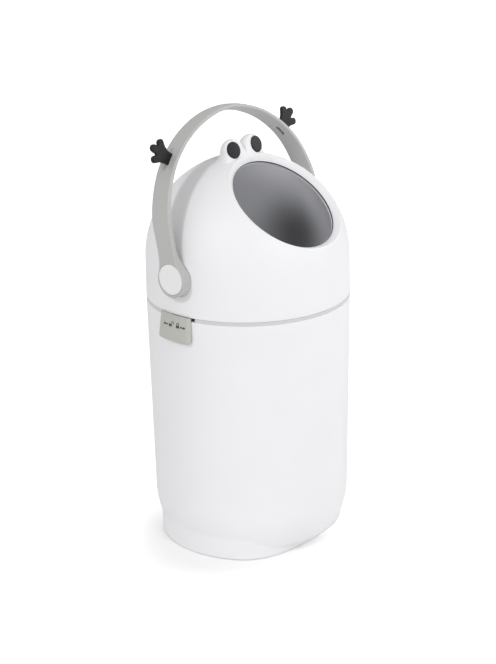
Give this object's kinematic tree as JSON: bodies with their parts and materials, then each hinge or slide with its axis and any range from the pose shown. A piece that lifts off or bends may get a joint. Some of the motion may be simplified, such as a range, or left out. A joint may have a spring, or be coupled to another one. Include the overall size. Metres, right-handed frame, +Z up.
{
  "type": "nappy bin",
  "caption": "Tapered upright nappy bin with a hinged domed lid, a round mouth, a turning drum and an arched carrying handle with small hands and eyes on the dome.",
  "frame": {"origin": "on the floor under the middle of the bin", "axes": "+Z up, -Y towards the mouth at the front, X along the handle's axis with the lock tab on -X and the lid hinge on +X"},
  "size_m": [0.3074, 0.28, 0.6022],
  "materials": {
    "white_plastic": "smooth semi-gloss moulded plastic",
    "cap_plastic": "smooth satin moulded plastic",
    "handle_grey": "fine satin moulded plastic",
    "tab_grey": "fine satin moulded plastic",
    "band_grey": "fine satin moulded plastic",
    "drum_grey": "satin moulded plastic",
    "black_plastic": "fine textured soft plastic",
    "rubber": "matte elastomer",
    "steel": "zinc plated steel",
    "natural_plastic": "natural unpainted moulded plastic"
  },
  "bodies": {
    "bin": {"bucket": "white_plastic", "foot_pad_1": "rubber", "foot_pad_2": "rubber", "foot_pad_3": "rubber", "foot_pad_4": "rubber", "rim_band": "band_grey", "bag_ring": "natural_plastic", "hinge_bracket": "white_plastic", "hinge_pin": "steel", "bracket_screw_1": "steel", "bracket_screw_2": "steel"},
    "lid": {"lid_dome": "white_plastic", "pupil_left": "black_plastic", "pupil_right": "black_plastic", "lid_collar": "natural_plastic", "collar_screw_1": "steel", "collar_screw_2": "steel", "collar_screw_3": "steel", "collar_screw_4": "steel", "mouth_seal": "rubber", "trunnion_bush_left": "natural_plastic", "trunnion_bush_right": "natural_plastic", "hinge_leaf": "white_plastic", "leaf_screw_1": "steel", "leaf_screw_2": "steel"},
    "handle_drum": {"handle": "handle_grey", "drum_left": "drum_grey", "drum_right": "drum_grey", "hub_screw_left": "steel", "hub_screw_right": "steel", "hub_cap_left": "cap_plastic", "hub_cap_right": "cap_plastic", "hand_left": "black_plastic", "hand_right": "black_plastic"},
    "lock": {"lock_slider": "tab_grey"}
  },
  "joints": [
    {"name": "lid_hinge", "type": "hinge", "parent": "bin", "child": "lid", "pos_m": [0.1465, 0, 0.346], "axis": [0, 1, 0], "range_deg": [0, 95]},
    {"name": "handle_turn", "type": "hinge", "parent": "lid", "child": "handle_drum", "pos_m": [0, 0, 0.4], "axis": [1, 0, 0], "range_deg": [0, 140]},
    {"name": "lock_slide", "type": "hinge", "parent": "bin", "child": "lock", "pos_m": [0, 0, 0.346], "axis": [0, 0, 1], "range_deg": [0, 3.2]}
  ]
}
